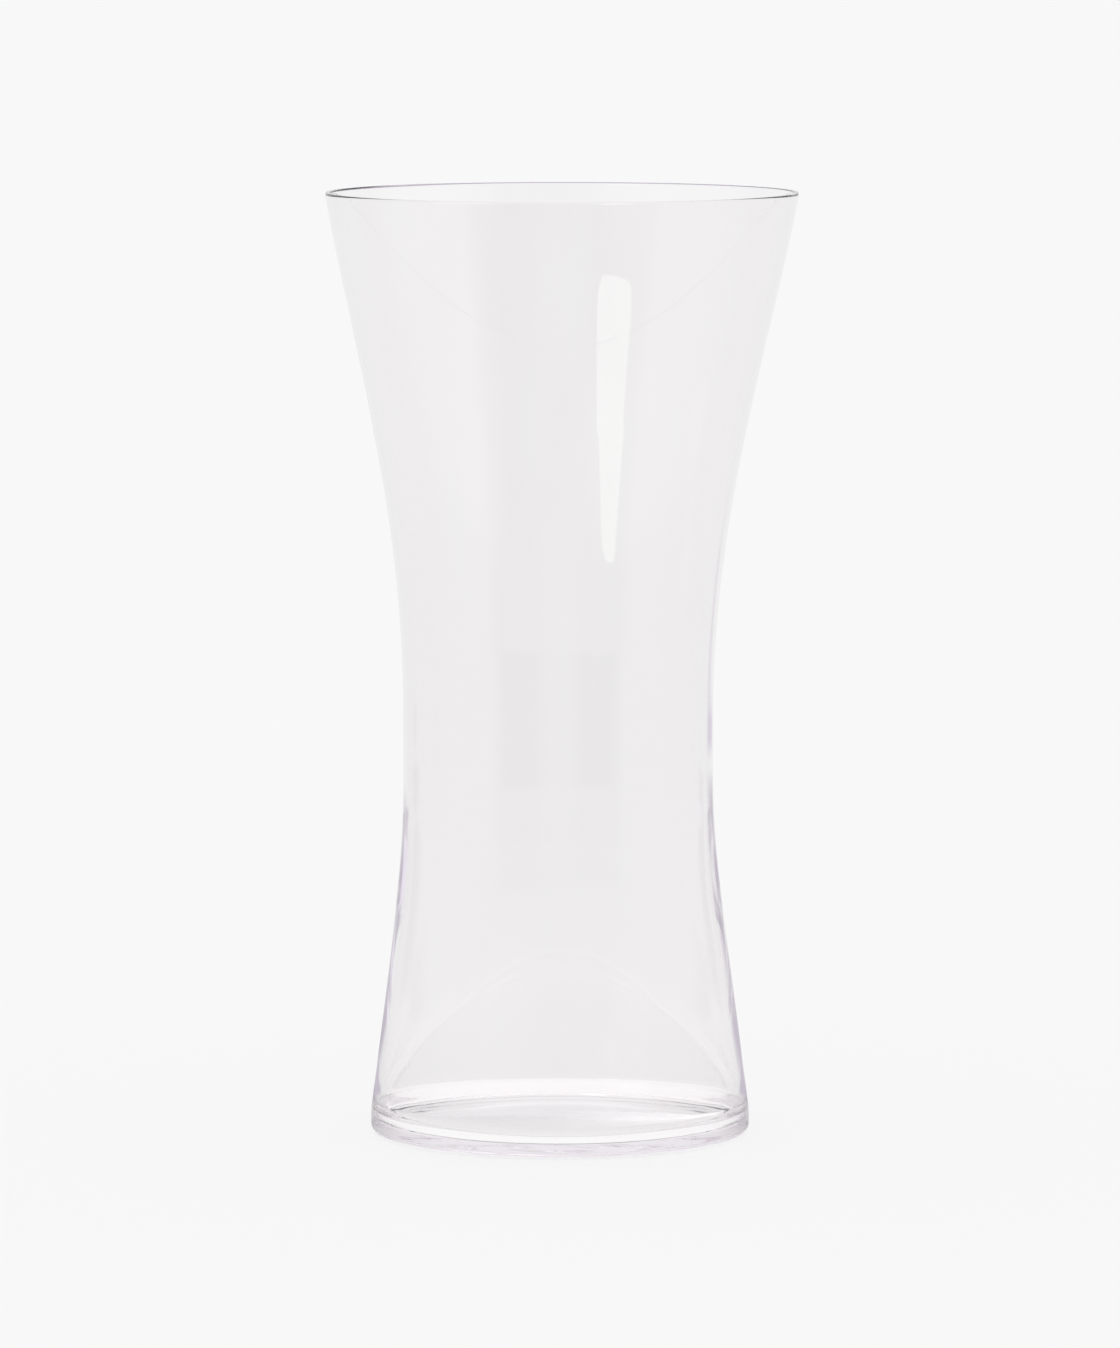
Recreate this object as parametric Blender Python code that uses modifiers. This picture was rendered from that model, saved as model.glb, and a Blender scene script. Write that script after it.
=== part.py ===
"""A waisted clear mixing glass, blown and pressed as one piece of glass.

Metres, +Z up. The origin is the middle of the foot, on the surface that the glass stands on.
"""

import math

import bpy
from mathutils import Vector
from mathutils.geometry import interpolate_bezier

NAME = "mixing_glass"

# Driving dimensions
HEIGHT = 0.190
RIM_RADIUS = 0.0475
WAIST_RADIUS = 0.0313
WAIST_HEIGHT = 0.086
FOOT_TOP_RADIUS = 0.0382
FOOT_RADIUS = 0.0383
FOOT_BAND_HEIGHT = 0.0050

# Wall thickness, measured level, and the floor inside
WALL = 0.0012
FLOOR_HEIGHT = 0.0023
FLOOR_CROWN = 0.0004

# Roundings and the underside
RIM_ROUNDING = 0.0006
CORNER_WIDTH = 0.0034
CORNER_HEIGHT = 0.0046
HEEL_RADIUS = 0.0010
REST_RING_WIDTH = 0.0040
KICK_UP = 0.0012

# How much the wall leans outward, as radius gained per height
RIM_LEAN = 0.17
FOOT_LEAN = 0.13

# How far each end of a wall curve keeps its direction
RIM_REACH = 0.026
WAIST_REACH_UP = 0.041
WAIST_REACH_DOWN = 0.027
FOOT_REACH = 0.058

# Faceting of the solid
TURN_STEPS = 64
UPPER_STEPS = 8
LOWER_STEPS = 6
RIM_STEPS = 4
CORNER_STEPS = 4
HEEL_STEPS = 3
KICK_UP_STEPS = 4


def point(radius, height):
    return Vector((radius, 0.0, height))


def bezier(start, start_handle, end_handle, end, steps):
    return interpolate_bezier(start, start_handle, end_handle, end, steps + 1)


def arc(centre, radius, from_angle, to_angle, steps):
    """Points on a circle in the XZ plane, with angles in degrees from +X towards +Z."""
    points = []
    for step in range(steps + 1):
        angle = math.radians(from_angle + (to_angle - from_angle) * step / steps)
        points.append(centre + radius * point(math.cos(angle), math.sin(angle)))
    return points


def outer_wall():
    """The outer wall from just under the rim down to the foot band."""
    rim_end = point(RIM_RADIUS, HEIGHT - RIM_ROUNDING)
    waist = point(WAIST_RADIUS, WAIST_HEIGHT)
    foot_top = point(FOOT_TOP_RADIUS, FOOT_BAND_HEIGHT)
    upper = bezier(
        rim_end,
        rim_end - RIM_REACH * point(RIM_LEAN, 1.0),
        waist + point(0.0, WAIST_REACH_UP),
        waist,
        UPPER_STEPS,
    )
    lower = bezier(
        waist,
        waist - point(0.0, WAIST_REACH_DOWN),
        foot_top + FOOT_REACH * point(-FOOT_LEAN, 1.0),
        foot_top,
        LOWER_STEPS,
    )
    return upper + lower[1:]


def inner_wall(outer):
    """The inner wall, from the corner above the floor up to the rim's flat top."""
    corner_top = FLOOR_HEIGHT + CORNER_HEIGHT
    lean_back = FOOT_LEAN * (corner_top - FOOT_BAND_HEIGHT)
    wall_foot = point(FOOT_TOP_RADIUS - lean_back - WALL, corner_top)
    walls = [point(p.x - WALL, p.z) for p in outer if p.z > corner_top]
    top = point(RIM_RADIUS - WALL + RIM_LEAN * RIM_ROUNDING, HEIGHT)
    return [wall_foot] + walls[::-1] + [top]


def inner_floor(wall_foot):
    """A floor crowned slightly at its middle, and the rounded corner between it and the wall."""
    edge = point(wall_foot.x - CORNER_WIDTH, FLOOR_HEIGHT)
    corner = bezier(
        edge,
        edge + point(0.55 * CORNER_WIDTH, 0.0),
        wall_foot - 0.55 * CORNER_HEIGHT * point(-FOOT_LEAN, 1.0),
        wall_foot,
        CORNER_STEPS,
    )
    return [point(0.0, FLOOR_HEIGHT + FLOOR_CROWN)] + corner[:-1]


def rim():
    """The rounding on the outside of the rim, from its flat top down to the outer wall's end."""
    centre = point(RIM_RADIUS - RIM_ROUNDING, HEIGHT - RIM_ROUNDING)
    return arc(centre, RIM_ROUNDING, 90.0, 0.0, RIM_STEPS)[:-1]


def foot():
    """The heel's rounding, the ring that the glass rests on and the kick-up inside the ring."""
    centre = point(FOOT_RADIUS - HEEL_RADIUS, HEEL_RADIUS)
    heel = arc(centre, HEEL_RADIUS, 0.0, -90.0, HEEL_STEPS)
    ring_inside = centre.x - REST_RING_WIDTH
    kick_up = []
    for step in range(KICK_UP_STEPS + 1):
        share = 1.0 - step / KICK_UP_STEPS
        kick_up.append(point(ring_inside * share, KICK_UP * (1.0 - share * share)))
    return heel + kick_up


def glass_profile():
    outer = outer_wall()
    inner = inner_wall(outer)
    return inner_floor(inner[0]) + inner + rim() + outer + foot()


def turned(name, profile, material, collection):
    """A solid of revolution about Z from a profile that runs down its outer side."""
    mesh = bpy.data.meshes.new(name)
    edges = [(i, i + 1) for i in range(len(profile) - 1)]
    mesh.from_pydata(profile, edges, [])
    mesh.materials.append(material)
    piece = bpy.data.objects.new(name, mesh)
    collection.objects.link(piece)
    screw = piece.modifiers.new("Turn", "SCREW")
    screw.steps = TURN_STEPS
    screw.render_steps = TURN_STEPS
    screw.use_merge_vertices = True
    screw.merge_threshold = 0.00001
    screw.use_smooth_shade = True
    return piece


def clear_glass():
    material = bpy.data.materials.new("clear_glass")
    material.use_nodes = True
    shader = material.node_tree.nodes["Principled BSDF"]
    shader.inputs["Base Color"].default_value = (0.97, 0.96, 0.968, 1.0)
    shader.inputs["Roughness"].default_value = 0.02
    shader.inputs["Metallic"].default_value = 0.0
    shader.inputs["IOR"].default_value = 1.5
    shader.inputs["Transmission Weight"].default_value = 1.0
    return material


def main():
    for existing in list(bpy.data.objects):
        bpy.data.objects.remove(existing)
    collection = bpy.data.collections.new(NAME)
    bpy.context.scene.collection.children.link(collection)
    turned(NAME, glass_profile(), clear_glass(), collection)


main()
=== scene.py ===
"""The looks of the mixing glass: its finished surface, its glass, and a plain pale studio."""

import math

import bpy
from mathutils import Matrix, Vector
from mathutils.geometry import interpolate_bezier


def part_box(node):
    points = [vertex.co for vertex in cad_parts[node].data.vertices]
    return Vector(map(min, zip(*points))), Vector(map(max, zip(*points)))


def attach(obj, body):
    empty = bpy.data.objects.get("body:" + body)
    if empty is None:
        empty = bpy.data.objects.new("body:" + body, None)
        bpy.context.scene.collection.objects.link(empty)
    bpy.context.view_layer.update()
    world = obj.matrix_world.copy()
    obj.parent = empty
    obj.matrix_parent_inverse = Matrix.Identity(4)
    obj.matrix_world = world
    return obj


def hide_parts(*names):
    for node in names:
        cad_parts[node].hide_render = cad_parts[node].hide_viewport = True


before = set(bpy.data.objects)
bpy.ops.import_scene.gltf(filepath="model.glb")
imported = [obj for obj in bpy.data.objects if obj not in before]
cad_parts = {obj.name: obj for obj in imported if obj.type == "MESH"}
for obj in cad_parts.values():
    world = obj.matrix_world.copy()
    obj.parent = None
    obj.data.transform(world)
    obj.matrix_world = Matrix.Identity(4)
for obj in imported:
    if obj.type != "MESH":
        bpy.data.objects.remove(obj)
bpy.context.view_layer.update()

_, node_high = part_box("mixing_glass")

# Sizes from the frame
HEIGHT = node_high.z
RIM_RADIUS = node_high.x

# The outer wall: its radii and heights in metres, how much it leans outward as radius gained per
# height, and how far each end of its curves keeps its direction
WAIST_RADIUS = 0.0313
WAIST_HEIGHT = 0.086
FOOT_TOP_RADIUS = 0.0382
FOOT_RADIUS = 0.0383
FOOT_BAND_HEIGHT = 0.0050
RIM_LEAN = 0.17
FOOT_LEAN = 0.13
RIM_REACH = 0.026
WAIST_REACH_UP = 0.041
WAIST_REACH_DOWN = 0.027
FOOT_REACH = 0.058

# Wall thickness by height: height, thickness
WALLS = [
    (0.008, 0.0011),
    (0.020, 0.0012),
    (0.044, 0.0015),
    (0.066, 0.0011),
]

# The rim: its inner and outer roundings, and where and how much the outer one is wider
RIM_INNER_EDGE = 0.00006
RIM_OUTER_EDGE = 0.00060
RIM_OUTER_ARC = 38.0
RIM_UNEVEN = 0.00040
RIM_UNEVEN_ANGLE = 150.0
RIM_UNEVEN_REACH = 50.0

# The floor inside, its corner, the heel and the underside
FLOOR_HEIGHT = 0.0023
FLOOR_CROWN = 0.0004
FLOOR_RINGS = 8
FLOOR_RING_DEPTH = 0.000014
CORNER_WIDTH = 0.0040
CORNER_HEIGHT = 0.0046
CORNER_ROUNDNESS = 0.55
HEEL_RADIUS = 0.0013
REST_RING_WIDTH = 0.0040
KICK_UP = 0.0012

# How far the glass wanders along X, first by the waist and then back by the rim
WAIST_DRIFT = -0.00038
RIM_DRIFT = 0.00090
WAIST_DRIFT_HEIGHTS = (0.020, 0.078)
RIM_DRIFT_HEIGHTS = (0.078, HEIGHT + 0.030)

# Fineness of the finished surface
TURN_STEPS = 288
UPPER_STEPS = 56
LOWER_STEPS = 44
RIM_STEPS = 14
EDGE_STEPS = 4
CORNER_STEPS = 14
HEEL_STEPS = 8
FLOOR_STEPS = 72
KICK_UP_STEPS = 14

# The glass's material. Stretches are per metre, and each streak colour has its place in the noise.
GLASS_IOR = 1.5
TINT_COLOUR = (0.80, 0.0, 0.70, 1.0)
TINT_DENSITY = 0.45
STREAK_STRETCH = (110.0, 110.0, 5.0)
STREAK_DETAIL = 3.0
STREAK_COLOURS = [(0.35, (0.998, 0.985, 0.987, 1.0)), (0.65, (1.0, 0.9945, 0.994, 1.0))]
SCUFF_STRETCH = (900.0, 900.0, 900.0)
SCUFF_DETAIL = 4.0
SCUFF_RANGE = (0.35, 0.65)
WEAR_HEIGHT = 0.0004
WEAR_ROUGHNESS = 0.15
RIPPLE_STRETCH = (150.0, 150.0, 12.0)
RIPPLE_DETAIL = 1.0
RIPPLE_DEPTH = 0.00002

# Brightness of the pale floor and backdrop. Every share below is a share of it.
PALE = 0.939
WHITE = (1.0, 1.0, 1.0, 1.0)

# The floor: how much of its brightness can take a shadow, its size, and its gap under the glass
FLOOR_SHADED_SHARE = 0.10
FLOOR_SIZE = 60.0
FLOOR_GAP = 0.0003

# Light that the studio tells apart by its path so far: how it compares, what is counted, the limit
REFLECTED = ("GREATER_THAN", "Glossy Depth", 0.5)
LITTLE_REFLECTED = ("LESS_THAN", "Glossy Depth", 2.5)
MUCH_REFLECTED = ("GREATER_THAN", "Glossy Depth", 7.5)
REFRACTED = ("GREATER_THAN", "Transmission Depth", 0.5)
THROUGH_FEW_SURFACES = ("LESS_THAN", "Transmission Depth", 2.5)

# Brightness round the glass, as reflections show it: azimuth, share. Azimuth 0 is +Y, and 90 is +X.
ROUND_BRIGHTNESS = [
    (0.0, 0.93),
    (40.0, 0.86),
    (50.0, 0.80),
    (62.0, 0.70),
    (91.0, 0.52),
    (124.0, 0.43),
    (180.0, 0.39),
]

# Painted shade on the floor that only reflections show, with distances from the glass's axis in metres:
# azimuth, half width, near, far, softness of azimuth, softness of distance, share
FLOOR_ZONES = [
    (180.0, 46.0, 0.325, 3.0, 5.0, 0.02, 0.13),
    (180.0, 12.0, 0.325, 3.0, 7.0, 0.02, 0.29),
    (0.0, 70.0, 0.040, 0.060, 10.0, 0.004, 0.82),
]
# Painted patches at the sides, most of them dimmer, which darken the glass's edges in its reflections
SIDE_ZONES = [
    (25.0, 9.0, 0.12, 0.36, 4.0, 0.03, 0.60),
    (25.0, 9.0, 0.42, 0.64, 4.0, 0.03, 0.54),
    (23.0, 7.0, 0.70, 0.80, 3.0, 0.03, 0.72),
    (-23.0, 7.0, 0.12, 0.60, 3.0, 0.03, 0.54),
    (-28.0, 7.0, 0.33, 0.42, 2.0, 0.02, 0.95),
    (40.0, 9.0, 0.06, 0.14, 4.0, 0.01, 0.60),
    (-40.0, 9.0, 0.06, 0.14, 4.0, 0.01, 0.60),
]
# The lilac colour of the painted shade in the side patches
SIDE_SHADE = (1.0, 0.925, 1.065, 1.0)

# Painted shade on the floor under the glass, as reflections show it: far, softness, share
SHADE_UNDER_GLASS = (0.036, 0.002, 0.32)

# Painted light on the floor under the foot's edge, as the foot alone shows it: near, far, softness,
# share
LIGHT_UNDER_FOOT = (0.030, 0.040, 0.002, 1.05)

# Painted light on the floor round the foot, standing in for the light that the foot gathers there: near,
# far, softness, share added
PAINTED_LIGHT_RING = (0.0380, 0.0510, 0.0005, 0.11)

# Painted shade on the floor that only the rim's rounding shows, which darkens the rim's line, and its
# colour:
# azimuth, half width, near, far, softness of azimuth, softness of distance
RIM_SHADE = (0.0, 50.0, 0.15, 0.75, 10.0, 0.05)
RIM_SHADE_GLOW = (0.52, 0.46, 0.56, 1.0)

# Patches of the surroundings that reflections show, with heights as the sine of elevation:
# azimuth, half width, low, high, softness of azimuth, softness of height, share
SKY_ZONES = [
    (100.0, 35.0, 0.14, 2.0, 15.0, 0.08, 0.84),
    (-110.0, 45.0, 0.14, 2.0, 15.0, 0.08, 0.80),
    (180.0, 40.0, 0.36, 2.0, 15.0, 0.05, 0.52),
    (0.0, 25.0, 0.05, 2.0, 8.0, 0.04, 0.92),
]
SKY_TINT = (1.0, 1.0, 1.02, 1.0)
OVERHEAD_HEIGHTS = (0.55, 0.75)
OVERHEAD_SHARE = 1.15

# A bright patch that only light with few reflections shows: the same, and its share
BRIGHT_PATCH = (14.0, 11.0, 0.12, 0.29, 4.0, 0.03)
BRIGHT_PATCH_SHARE = 1.8

# Two softboxes that draw the upright highlight, each a panel with rounded corners: its distance from
# the glass's axis, then across, height and rounding for each corner, clockwise from the upper left.
SOFTBOX_AZIMUTH = -147.0
SOFTBOX_SHARE = 1.7
SOFTBOX_COLOUR = (1.0, 1.13, 1.08, 1.0)
SOFTBOX_CORNER_STEPS = 8
SOFTBOXES = {
    "softbox_upper": (0.095, [
        (-0.0145, 0.226, 0.006),
        (0.0295, 0.222, 0.006),
        (0.0295, 0.178, 0.001),
        (-0.006, 0.178, 0.001),
    ]),
    "softbox_lower": (0.350, [
        (-0.036, 0.2565, 0.001),
        (0.078, 0.2565, 0.001),
        (0.065, 0.161, 0.009),
        (0.009, 0.161, 0.040),
    ]),
}

# Camera, in metres and millimetres of lens and sensor
CAMERA_DISTANCE = 1.6376
CAMERA_HEIGHT = 0.2618
AIM_HEIGHT = 0.0928
LENS = 217.87
SENSOR_WIDTH = 36.0
FARTHEST_SEEN = 200.0

# Bounces that light may take inside the glass
ALL_BOUNCES = 128
GLASS_BOUNCES = 120


def point(radius, height):
    return Vector((radius, 0.0, height))


def bezier(start, start_handle, end_handle, end, steps):
    return interpolate_bezier(start, start_handle, end_handle, end, steps + 1)


def arc(centre, radius, from_angle, to_angle, steps):
    """Points on a circle in the XZ plane, with angles in degrees from +X towards +Z."""
    points = []
    for step in range(steps + 1):
        angle = math.radians(from_angle + (to_angle - from_angle) * step / steps)
        points.append(centre + radius * point(math.cos(angle), math.sin(angle)))
    return points


def smooth_step(value, low, high):
    share = min(max((value - low) / (high - low), 0.0), 1.0)
    return share * share * (3.0 - 2.0 * share)


# --- The glass's shape ---


def unevenness(angle, centre, reach):
    """1 at the centre angle, and down to 0 at the given number of degrees from it."""
    away = abs((math.degrees(angle) - centre + 180.0) % 360.0 - 180.0)
    return 1.0 - smooth_step(away, 0.0, reach)


def rim(angle):
    """A crisp inner edge, a flat top, and a rounding along the outside that isn't the same all round."""
    lean = math.degrees(math.atan(RIM_LEAN))
    uneven = RIM_UNEVEN * unevenness(angle, RIM_UNEVEN_ANGLE, RIM_UNEVEN_REACH)
    radius = RIM_OUTER_EDGE + uneven
    top = HEIGHT - RIM_INNER_EDGE
    corner = arc(point(0.0, top), RIM_INNER_EDGE, 90.0, RIM_OUTER_ARC, EDGE_STEPS)
    outer_height = corner[-1].z - radius * math.sin(math.radians(RIM_OUTER_ARC))
    outer_centre = point(RIM_RADIUS - radius, outer_height)
    outer_edge = arc(outer_centre, radius, RIM_OUTER_ARC, -lean, RIM_STEPS)
    shift = point(outer_edge[0].x - corner[-1].x, 0.0)
    top_corner = [p + shift for p in corner[:-1]]
    rim_end = outer_edge[-1]
    inner_end = HEIGHT - RIM_INNER_EDGE * (1.0 - math.sin(math.radians(lean)))
    inner_radius = rim_end.x - wall_thickness(rim_end.z) + RIM_LEAN * (inner_end - rim_end.z)
    inner_centre = point(inner_radius + RIM_INNER_EDGE * math.cos(math.radians(lean)), top)
    inner_edge = arc(inner_centre, RIM_INNER_EDGE, 180.0 - lean, 90.0, EDGE_STEPS)
    return inner_edge, top_corner + outer_edge


def outer_wall(rim_end):
    """The outer wall from just under the rim down to the foot band."""
    waist = point(WAIST_RADIUS, WAIST_HEIGHT)
    foot_top = point(FOOT_TOP_RADIUS, FOOT_BAND_HEIGHT)
    upper = bezier(
        rim_end,
        rim_end - RIM_REACH * point(RIM_LEAN, 1.0),
        waist + point(0.0, WAIST_REACH_UP),
        waist,
        UPPER_STEPS,
    )
    lower = bezier(
        waist,
        waist - point(0.0, WAIST_REACH_DOWN),
        foot_top + FOOT_REACH * point(-FOOT_LEAN, 1.0),
        foot_top,
        LOWER_STEPS,
    )
    return upper + lower[1:]


def wall_thickness(height):
    for (low, low_wall), (high, high_wall) in zip(WALLS, WALLS[1:]):
        if height < high:
            break
    return low_wall + (high_wall - low_wall) * smooth_step(height, low, high)


def inner_wall(outer):
    """The inner wall, from the corner above the floor up to the rim."""
    corner_top = FLOOR_HEIGHT + CORNER_HEIGHT
    walls = [point(p.x - wall_thickness(p.z), p.z) for p in outer if p.z > corner_top]
    lean_back = FOOT_LEAN * (corner_top - FOOT_BAND_HEIGHT)
    walls.append(point(FOOT_TOP_RADIUS - lean_back - wall_thickness(corner_top), corner_top))
    return walls[::-1]


def floor_ring(share):
    """Faint rings in the floor, deeper towards its edge, as pressing leaves them."""
    return FLOOR_RING_DEPTH * share * share * math.sin(2.0 * math.pi * FLOOR_RINGS * share)


def inner_floor(wall_foot):
    """The crowned floor from the axis outward, and the rounded corner between it and the wall."""
    edge = point(wall_foot.x - CORNER_WIDTH, FLOOR_HEIGHT)
    corner = bezier(
        edge,
        edge + point(CORNER_ROUNDNESS * CORNER_WIDTH, 0.0),
        wall_foot - CORNER_ROUNDNESS * CORNER_HEIGHT * point(-FOOT_LEAN, 1.0),
        wall_foot,
        CORNER_STEPS,
    )
    flat = []
    for step in range(FLOOR_STEPS):
        share = step / FLOOR_STEPS
        crown = FLOOR_CROWN * (1.0 - share * share)
        flat.append(point(edge.x * share, FLOOR_HEIGHT + crown + floor_ring(share)))
    return flat + corner[:-1]


def foot():
    """The foot band, the heel, the ring that the glass rests on and the kick-up inside the ring."""
    foot_top = point(FOOT_TOP_RADIUS, FOOT_BAND_HEIGHT)
    widest = point(FOOT_RADIUS, HEEL_RADIUS)
    reach = (FOOT_BAND_HEIGHT - HEEL_RADIUS) / 3
    band = bezier(
        foot_top,
        foot_top - reach * point(-FOOT_LEAN, 1.0),
        widest + point(0.0, reach),
        widest,
        HEEL_STEPS,
    )
    centre = point(FOOT_RADIUS - HEEL_RADIUS, HEEL_RADIUS)
    heel = arc(centre, HEEL_RADIUS, 0.0, -90.0, HEEL_STEPS)
    ring_inside = centre.x - REST_RING_WIDTH
    kick_up = []
    for step in range(KICK_UP_STEPS + 1):
        share = 1.0 - step / KICK_UP_STEPS
        kick_up.append(point(ring_inside * share, KICK_UP * (1.0 - share * share)))
    return band[1:] + heel[1:] + kick_up


def drift(height):
    """How far the glass, made by hand, wanders sideways from its axis along X."""
    to_waist = WAIST_DRIFT * smooth_step(height, *WAIST_DRIFT_HEIGHTS)
    return to_waist + RIM_DRIFT * smooth_step(height, *RIM_DRIFT_HEIGHTS)


def glass_profile(angle):
    """The outline at one angle round the glass, from the middle of the floor to the middle below."""
    inner_edge, outer_edge = rim(angle)
    outer = outer_wall(outer_edge[-1])
    inner = inner_wall(outer)
    return inner_floor(inner[0]) + inner + inner_edge + outer_edge[:-1] + outer + foot()


def turned_mesh(name, profile_at, steps):
    """Turns a profile that starts and ends on the axis into one closed surface."""
    angles = [2.0 * math.pi * step / steps for step in range(steps)]
    profiles = [profile_at(angle) for angle in angles]
    profile = profiles[0]
    vertices = [profile[0]]
    for row in range(1, len(profile) - 1):
        for angle, points in zip(angles, profiles):
            place = points[row]
            across = place.x * math.cos(angle) + drift(place.z)
            vertices.append(Vector((across, place.x * math.sin(angle), place.z)))
    vertices.append(profile[-1])
    last = len(vertices) - 1
    faces = []
    for step in range(steps):
        after = (step + 1) % steps
        faces.append((0, 1 + step, 1 + after))
        faces.append((last, last - steps + after, last - steps + step))
    for ring in range(len(profile) - 3):
        near = 1 + ring * steps
        far = near + steps
        for step in range(steps):
            after = (step + 1) % steps
            faces.append((near + step, far + step, far + after, near + after))
    mesh = bpy.data.meshes.new(name)
    mesh.from_pydata(vertices, [], faces)
    mesh.validate()
    mesh.shade_smooth()
    return mesh


def make_glass(material):
    mesh = turned_mesh("mixing_glass_finished", glass_profile, TURN_STEPS)
    mesh.materials.append(material)
    glass = bpy.data.objects.new("mixing_glass_finished", mesh)
    bpy.context.scene.collection.objects.link(glass)
    return glass


# --- Nodes ---


def new_node(tree, kind, **settings):
    node = tree.nodes.new(kind)
    for name, value in settings.items():
        setattr(node, name, value)
    return node


def set_input(tree, socket, value):
    """Links a socket to another node's output, or sets it to a value."""
    if isinstance(value, bpy.types.NodeSocket):
        tree.links.new(value, socket)
    else:
        socket.default_value = value


def math_node(tree, operation, first, second):
    node = new_node(tree, "ShaderNodeMath", operation=operation)
    set_input(tree, node.inputs[0], first)
    set_input(tree, node.inputs[1], second)
    return node.outputs[0]


def mix_values(tree, share, first, second):
    node = new_node(tree, "ShaderNodeMix", data_type="FLOAT")
    set_input(tree, node.inputs[0], share)
    set_input(tree, node.inputs[2], first)
    set_input(tree, node.inputs[3], second)
    return node.outputs[0]


def mix_shaders(tree, share, first, second):
    node = new_node(tree, "ShaderNodeMixShader")
    for socket, source in zip(node.inputs, (share, first, second)):
        tree.links.new(source, socket)
    return node.outputs[0]


def glow(tree, kind, colour, strength):
    """An Emission or Background shader."""
    node = new_node(tree, kind)
    set_input(tree, node.inputs["Color"], colour)
    set_input(tree, node.inputs["Strength"], strength)
    return node.outputs[0]


def ramp_between(tree, value, low, high, from_value=0.0, to_value=1.0, kind="SMOOTHSTEP"):
    node = new_node(tree, "ShaderNodeMapRange", interpolation_type=kind)
    tree.links.new(value, node.inputs["Value"])
    node.inputs["From Min"].default_value = low
    node.inputs["From Max"].default_value = high
    node.inputs["To Min"].default_value = from_value
    node.inputs["To Max"].default_value = to_value
    return node.outputs["Result"]


def separated(tree, source, axis):
    node = new_node(tree, "ShaderNodeSeparateXYZ")
    tree.links.new(source, node.inputs[0])
    return node.outputs[axis]


def drawn_noise(tree, place, stretch, detail):
    """Noise stretched along the axis, as hot glass draws out."""
    scaled = new_node(tree, "ShaderNodeVectorMath", operation="MULTIPLY")
    tree.links.new(place, scaled.inputs[0])
    scaled.inputs[1].default_value = stretch
    noise = new_node(tree, "ShaderNodeTexNoise")
    tree.links.new(scaled.outputs[0], noise.inputs["Vector"])
    noise.inputs["Scale"].default_value = 1.0
    noise.inputs["Detail"].default_value = detail
    return noise.outputs["Fac"]


# --- The glass's material ---


def clear_glass():
    material = bpy.data.materials.new("clear_glass")
    material.use_nodes = True
    tree = material.node_tree
    shader = tree.nodes["Principled BSDF"]
    shader.inputs["IOR"].default_value = GLASS_IOR
    shader.inputs["Transmission Weight"].default_value = 1.0
    place = new_node(tree, "ShaderNodeTexCoord").outputs["Object"]

    # Drawn streaks, barely darker and more lilac than the rest
    streaks = new_node(tree, "ShaderNodeValToRGB")
    tree.links.new(drawn_noise(tree, place, STREAK_STRETCH, STREAK_DETAIL), streaks.inputs[0])
    for stop, (position, colour) in zip(streaks.color_ramp.elements, STREAK_COLOURS):
        stop.position = position
        stop.color = colour
    tree.links.new(streaks.outputs["Color"], shader.inputs["Base Color"])

    # Polished everywhere but on the ring that it stands on, which is worn
    worn = ramp_between(tree, separated(tree, place, "Z"), 0.0, WEAR_HEIGHT, 1.0, 0.0)
    scuffs = ramp_between(tree, drawn_noise(tree, place, SCUFF_STRETCH, SCUFF_DETAIL), *SCUFF_RANGE)
    scuffs = math_node(tree, "MULTIPLY", scuffs, WEAR_ROUGHNESS)
    tree.links.new(math_node(tree, "MULTIPLY", worn, scuffs), shader.inputs["Roughness"])

    # Faint ripples from blowing
    bump = new_node(tree, "ShaderNodeBump")
    bump.inputs["Strength"].default_value = 1.0
    bump.inputs["Distance"].default_value = RIPPLE_DEPTH
    ripples = drawn_noise(tree, place, RIPPLE_STRETCH, RIPPLE_DETAIL)
    tree.links.new(ripples, bump.inputs["Height"])
    tree.links.new(bump.outputs["Normal"], shader.inputs["Normal"])

    # A little light is lost on the way through, most where the way is long
    tint = new_node(tree, "ShaderNodeVolumeAbsorption")
    tint.inputs["Color"].default_value = TINT_COLOUR
    tint.inputs["Density"].default_value = TINT_DENSITY
    tree.links.new(tint.outputs["Volume"], tree.nodes["Material Output"].inputs["Volume"])
    return material


# --- Studio ---


def path_test(tree, test):
    """1 for light whose path so far passes the test, and 0 for the rest."""
    operation, counted, limit = test
    path = new_node(tree, "ShaderNodeLightPath")
    return math_node(tree, operation, path.outputs[counted], limit)


def band_mask(tree, reach, near, far, soft_reach):
    """1 between two distances, or two heights, and 0 outside."""
    beyond_near = ramp_between(tree, reach, near - soft_reach, near + soft_reach)
    before_far = ramp_between(tree, reach, far - soft_reach, far + soft_reach, 1.0, 0.0)
    return math_node(tree, "MULTIPLY", beyond_near, before_far)


def zone_mask(tree, direction, reach, azimuth, half_width, near, far, soft_angle, soft_reach):
    """1 inside a patch of the studio and 0 outside."""
    towards = new_node(tree, "ShaderNodeVectorMath", operation="DOT_PRODUCT")
    tree.links.new(direction, towards.inputs[0])
    angle = math.radians(azimuth)
    towards.inputs[1].default_value = (math.sin(angle), math.cos(angle), 0.0)
    outer_cos = math.cos(math.radians(half_width + soft_angle))
    inner_cos = math.cos(math.radians(half_width - soft_angle))
    across = ramp_between(tree, towards.outputs["Value"], outer_cos, inner_cos)
    return math_node(tree, "MULTIPLY", across, band_mask(tree, reach, near, far, soft_reach))


def patched(tree, base, direction, reach, zones):
    """Brightness of a studio surface: a base value with patches set into it."""
    value = base
    for (*zone, share) in zones:
        value = mix_values(tree, zone_mask(tree, direction, reach, *zone), value, share * PALE)
    return value


def covered(tree, direction, reach, zones):
    """1 wherever one of the patches lies."""
    cover = 0.0
    for (*zone, _) in zones:
        cover = math_node(tree, "MAXIMUM", zone_mask(tree, direction, reach, *zone), cover)
    return cover


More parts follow.
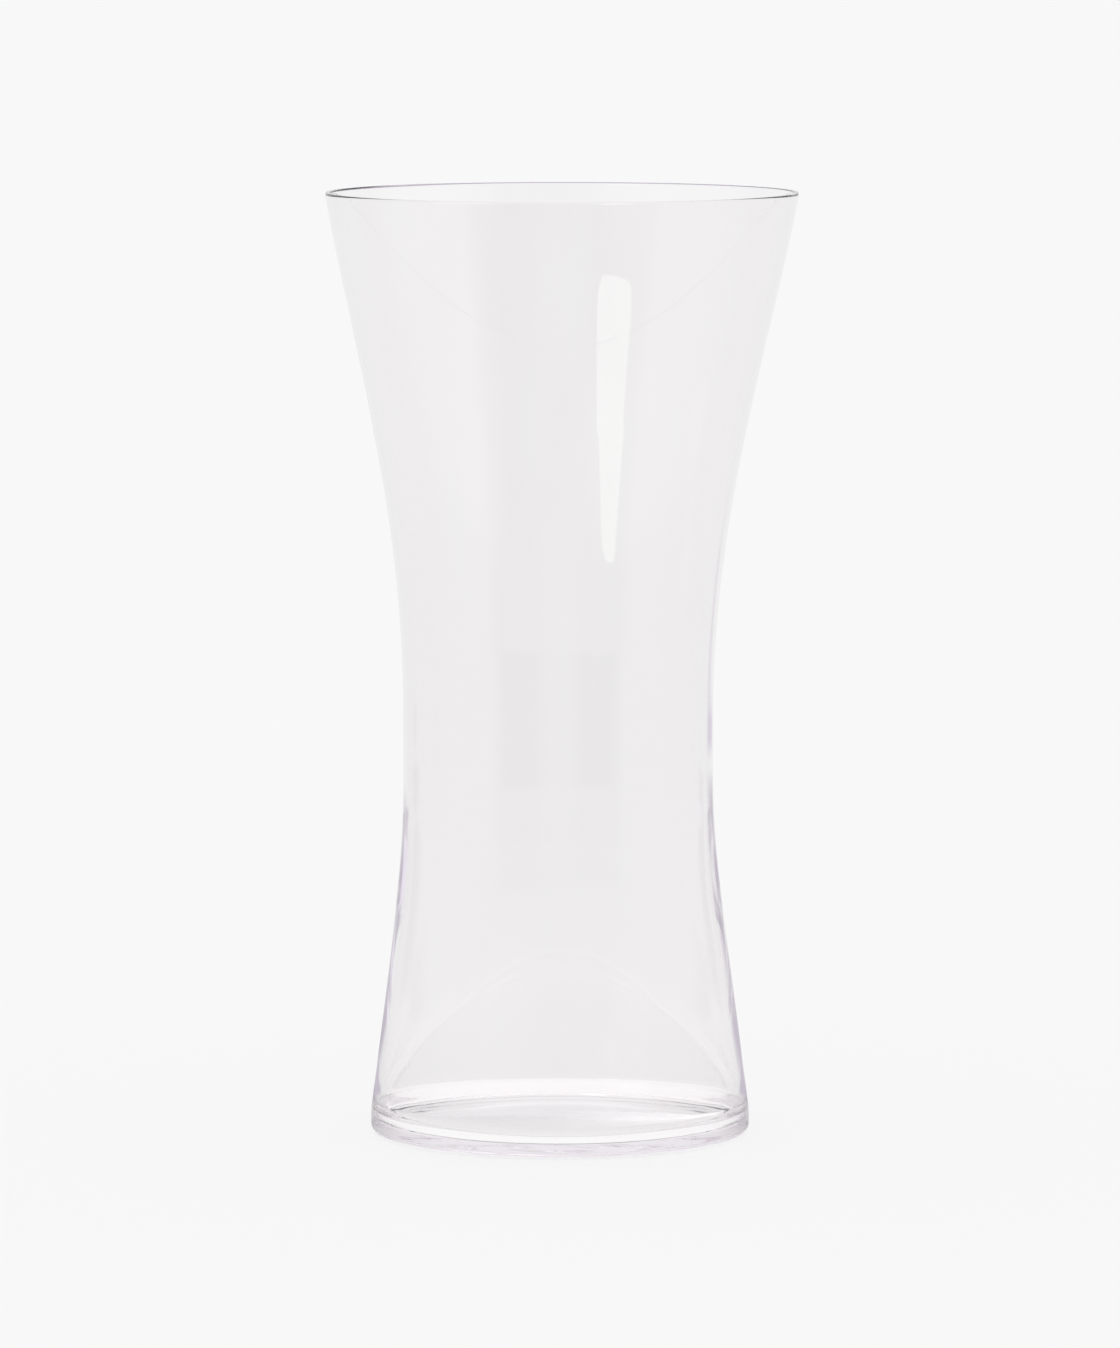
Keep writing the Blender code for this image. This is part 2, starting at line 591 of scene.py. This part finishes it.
def level_direction(tree, source):
    """The level part of a direction or place, made one unit long, and that part's length."""
    flat = new_node(tree, "ShaderNodeVectorMath", operation="MULTIPLY")
    tree.links.new(source, flat.inputs[0])
    flat.inputs[1].default_value = (1.0, 1.0, 0.0)
    unit = new_node(tree, "ShaderNodeVectorMath", operation="NORMALIZE")
    tree.links.new(flat.outputs[0], unit.inputs[0])
    length = new_node(tree, "ShaderNodeVectorMath", operation="LENGTH")
    tree.links.new(flat.outputs[0], length.inputs[0])
    return unit.outputs[0], length.outputs["Value"]


def round_brightness(tree, direction):
    """Dim on the camera's side and pale behind the glass."""
    forward = separated(tree, direction, "Y")
    place = ramp_between(tree, forward, 1.0, -1.0, kind="LINEAR")
    ramp = new_node(tree, "ShaderNodeValToRGB")
    tree.links.new(place, ramp.inputs[0])
    stops = ramp.color_ramp.elements
    while len(stops) < len(ROUND_BRIGHTNESS):
        stops.new(0.5)
    for stop, (azimuth, share) in zip(stops, ROUND_BRIGHTNESS):
        stop.position = (1.0 - math.cos(math.radians(azimuth))) / 2.0
        stop.color = (share * PALE,) * 3 + (1.0,)
    return ramp.outputs["Color"]


def plain_floor(tree, reach):
    """The floor looked at straight: an even glow, a little shade, and a faint painted ring of light
    round the foot.
    """
    near, far, soft, extra = PAINTED_LIGHT_RING
    ring = math_node(tree, "MULTIPLY", band_mask(tree, reach, near, far, soft), extra * PALE)
    ring = math_node(tree, "MULTIPLY", ring, path_test(tree, REFRACTED))
    strength = math_node(tree, "ADD", ring, PALE * (1.0 - FLOOR_SHADED_SHARE))
    shaded = new_node(tree, "ShaderNodeBsdfDiffuse")
    shaded.inputs["Color"].default_value = (FLOOR_SHADED_SHARE,) * 3 + (1.0,)
    both = new_node(tree, "ShaderNodeAddShader")
    tree.links.new(glow(tree, "ShaderNodeEmission", WHITE, strength), both.inputs[0])
    tree.links.new(shaded.outputs[0], both.inputs[1])
    return both.outputs[0]


def floor_past_rim(tree, plain, direction, reach):
    """The plain floor, with painted shade where light reaches it through the rim's rounding alone."""
    shade = zone_mask(tree, direction, reach, *RIM_SHADE)
    shade = math_node(tree, "MULTIPLY", shade, path_test(tree, THROUGH_FEW_SURFACES))
    shade = math_node(tree, "MULTIPLY", shade, path_test(tree, REFRACTED))
    dim = glow(tree, "ShaderNodeEmission", RIM_SHADE_GLOW, 1.0)
    return mix_shaders(tree, shade, plain, dim)


def floor_in_reflections(tree, direction, reach):
    """The floor as the glass reflects it, with its patches of painted shade and light."""
    shade = new_node(tree, "ShaderNodeMix", data_type="RGBA")
    tree.links.new(covered(tree, direction, reach, SIDE_ZONES), shade.inputs["Factor"])
    shade.inputs["A"].default_value = WHITE
    shade.inputs["B"].default_value = SIDE_SHADE
    base = round_brightness(tree, direction)
    strength = patched(tree, base, direction, reach, FLOOR_ZONES + SIDE_ZONES)
    # Painted shade on the floor under the glass
    far, soft, share = SHADE_UNDER_GLASS
    shade_under_glass = ramp_between(tree, reach, far - soft, far + soft, 1.0, 0.0)
    strength = mix_values(tree, shade_under_glass, strength, share * PALE)
    # Painted light on the floor under the foot's edge
    near, far, soft, share = LIGHT_UNDER_FOOT
    light_under_foot = band_mask(tree, reach, near, far, soft)
    light_under_foot = math_node(tree, "MULTIPLY", light_under_foot, path_test(tree, THROUGH_FEW_SURFACES))
    strength = mix_values(tree, light_under_foot, strength, share * PALE)
    return glow(tree, "ShaderNodeEmission", shade.outputs["Result"], strength)


def pale_floor():
    material = bpy.data.materials.new("pale_floor")
    material.use_nodes = True
    tree = material.node_tree
    tree.nodes.clear()
    output = new_node(tree, "ShaderNodeOutputMaterial")
    place = new_node(tree, "ShaderNodeTexCoord")
    direction, reach = level_direction(tree, place.outputs["Object"])
    direct = floor_past_rim(tree, plain_floor(tree, reach), direction, reach)
    reflected = floor_in_reflections(tree, direction, reach)
    floor = mix_shaders(tree, path_test(tree, REFLECTED), direct, reflected)
    tree.links.new(floor, output.inputs["Surface"])
    material.cycles.emission_sampling = "NONE"
    return material


def make_floor():
    bpy.ops.mesh.primitive_plane_add(size=FLOOR_SIZE, location=(0.0, 0.0, -FLOOR_GAP))
    floor = bpy.context.object
    floor.name = "studio_floor"
    floor.data.materials.append(pale_floor())


def make_world():
    """Even surroundings, which only reflections show as brighter and dimmer patches."""
    world = bpy.data.worlds.new("studio")
    bpy.context.scene.world = world
    world.use_nodes = True
    tree = world.node_tree
    tree.nodes.clear()
    output = new_node(tree, "ShaderNodeOutputWorld")
    place = new_node(tree, "ShaderNodeTexCoord").outputs["Generated"]
    direction, _ = level_direction(tree, place)
    height = separated(tree, place, "Z")
    sky = patched(tree, round_brightness(tree, direction), direction, height, SKY_ZONES)
    overhead = ramp_between(tree, height, *OVERHEAD_HEIGHTS)
    sky = mix_values(tree, overhead, sky, OVERHEAD_SHARE * PALE)
    patch = zone_mask(tree, direction, height, *BRIGHT_PATCH)
    patch = math_node(tree, "MULTIPLY", patch, path_test(tree, LITTLE_REFLECTED))
    sky = mix_values(tree, patch, sky, BRIGHT_PATCH_SHARE * PALE)
    sky = mix_values(tree, path_test(tree, MUCH_REFLECTED), sky, PALE)
    direct = glow(tree, "ShaderNodeBackground", WHITE, PALE)
    reflected = glow(tree, "ShaderNodeBackground", SKY_TINT, sky)
    studio = mix_shaders(tree, path_test(tree, REFLECTED), direct, reflected)
    tree.links.new(studio, output.inputs["Surface"])
    world.cycles.sampling_method = "NONE"


def softbox_glow():
    """Seen in reflections only."""
    material = bpy.data.materials.new("softbox_glow")
    material.use_nodes = True
    tree = material.node_tree
    tree.nodes.clear()
    output = new_node(tree, "ShaderNodeOutputMaterial")
    lit = glow(tree, "ShaderNodeEmission", SOFTBOX_COLOUR, SOFTBOX_SHARE * PALE)
    unseen = new_node(tree, "ShaderNodeBsdfTransparent").outputs[0]
    softbox = mix_shaders(tree, path_test(tree, REFLECTED), unseen, lit)
    tree.links.new(softbox, output.inputs["Surface"])
    material.cycles.emission_sampling = "NONE"
    return material


def rounded_panel(corners):
    """A panel's outline in the XZ plane, with an arc at each of its corners."""
    outline = []
    for index, (across, height, rounding) in enumerate(corners):
        corner = point(across, height)
        back = (point(*corners[index - 1][:2]) - corner).normalized()
        ahead = (point(*corners[(index + 1) % len(corners)][:2]) - corner).normalized()
        half_angle = back.angle(ahead) / 2.0
        centre = corner + rounding / math.sin(half_angle) * (back + ahead).normalized()
        start = corner + rounding / math.tan(half_angle) * back - centre
        from_angle = math.degrees(math.atan2(start.z, start.x))
        to_angle = from_angle - 180.0 + math.degrees(2.0 * half_angle)
        outline += arc(centre, rounding, from_angle, to_angle, SOFTBOX_CORNER_STEPS)
    return outline


def make_softbox(name, distance, corners, material):
    angle = math.radians(SOFTBOX_AZIMUTH)
    centre = distance * Vector((math.sin(angle), math.cos(angle), 0.0))
    across = Vector((math.cos(angle), -math.sin(angle), 0.0))
    outline = [centre + p.x * across + point(0.0, p.z) for p in rounded_panel(corners)]
    mesh = bpy.data.meshes.new(name)
    mesh.from_pydata(outline, [], [tuple(range(len(outline)))])
    mesh.materials.append(material)
    softbox = bpy.data.objects.new(name, mesh)
    bpy.context.scene.collection.objects.link(softbox)


def make_camera():
    data = bpy.data.cameras.new("camera")
    data.lens = LENS
    data.sensor_width = SENSOR_WIDTH
    data.clip_end = FARTHEST_SEEN
    camera = bpy.data.objects.new("camera", data)
    bpy.context.scene.collection.objects.link(camera)
    camera.location = (0.0, -CAMERA_DISTANCE, CAMERA_HEIGHT)
    aim = Vector((0.0, 0.0, AIM_HEIGHT)) - camera.location
    camera.rotation_euler = aim.to_track_quat("-Z", "Y").to_euler()
    bpy.context.scene.camera = camera


def set_light_paths():
    scene = bpy.context.scene
    scene.view_settings.view_transform = "Standard"
    cycles = scene.cycles
    cycles.max_bounces = ALL_BOUNCES
    cycles.glossy_bounces = GLASS_BOUNCES
    cycles.transmission_bounces = GLASS_BOUNCES
    cycles.use_denoising = True


make_camera()
make_world()
make_floor()
glow_material = softbox_glow()
for box_name, (box_distance, box_corners) in SOFTBOXES.items():
    make_softbox(box_name, box_distance, box_corners, glow_material)
set_light_paths()
glass = make_glass(clear_glass())
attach(glass, "root")
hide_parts("mixing_glass")
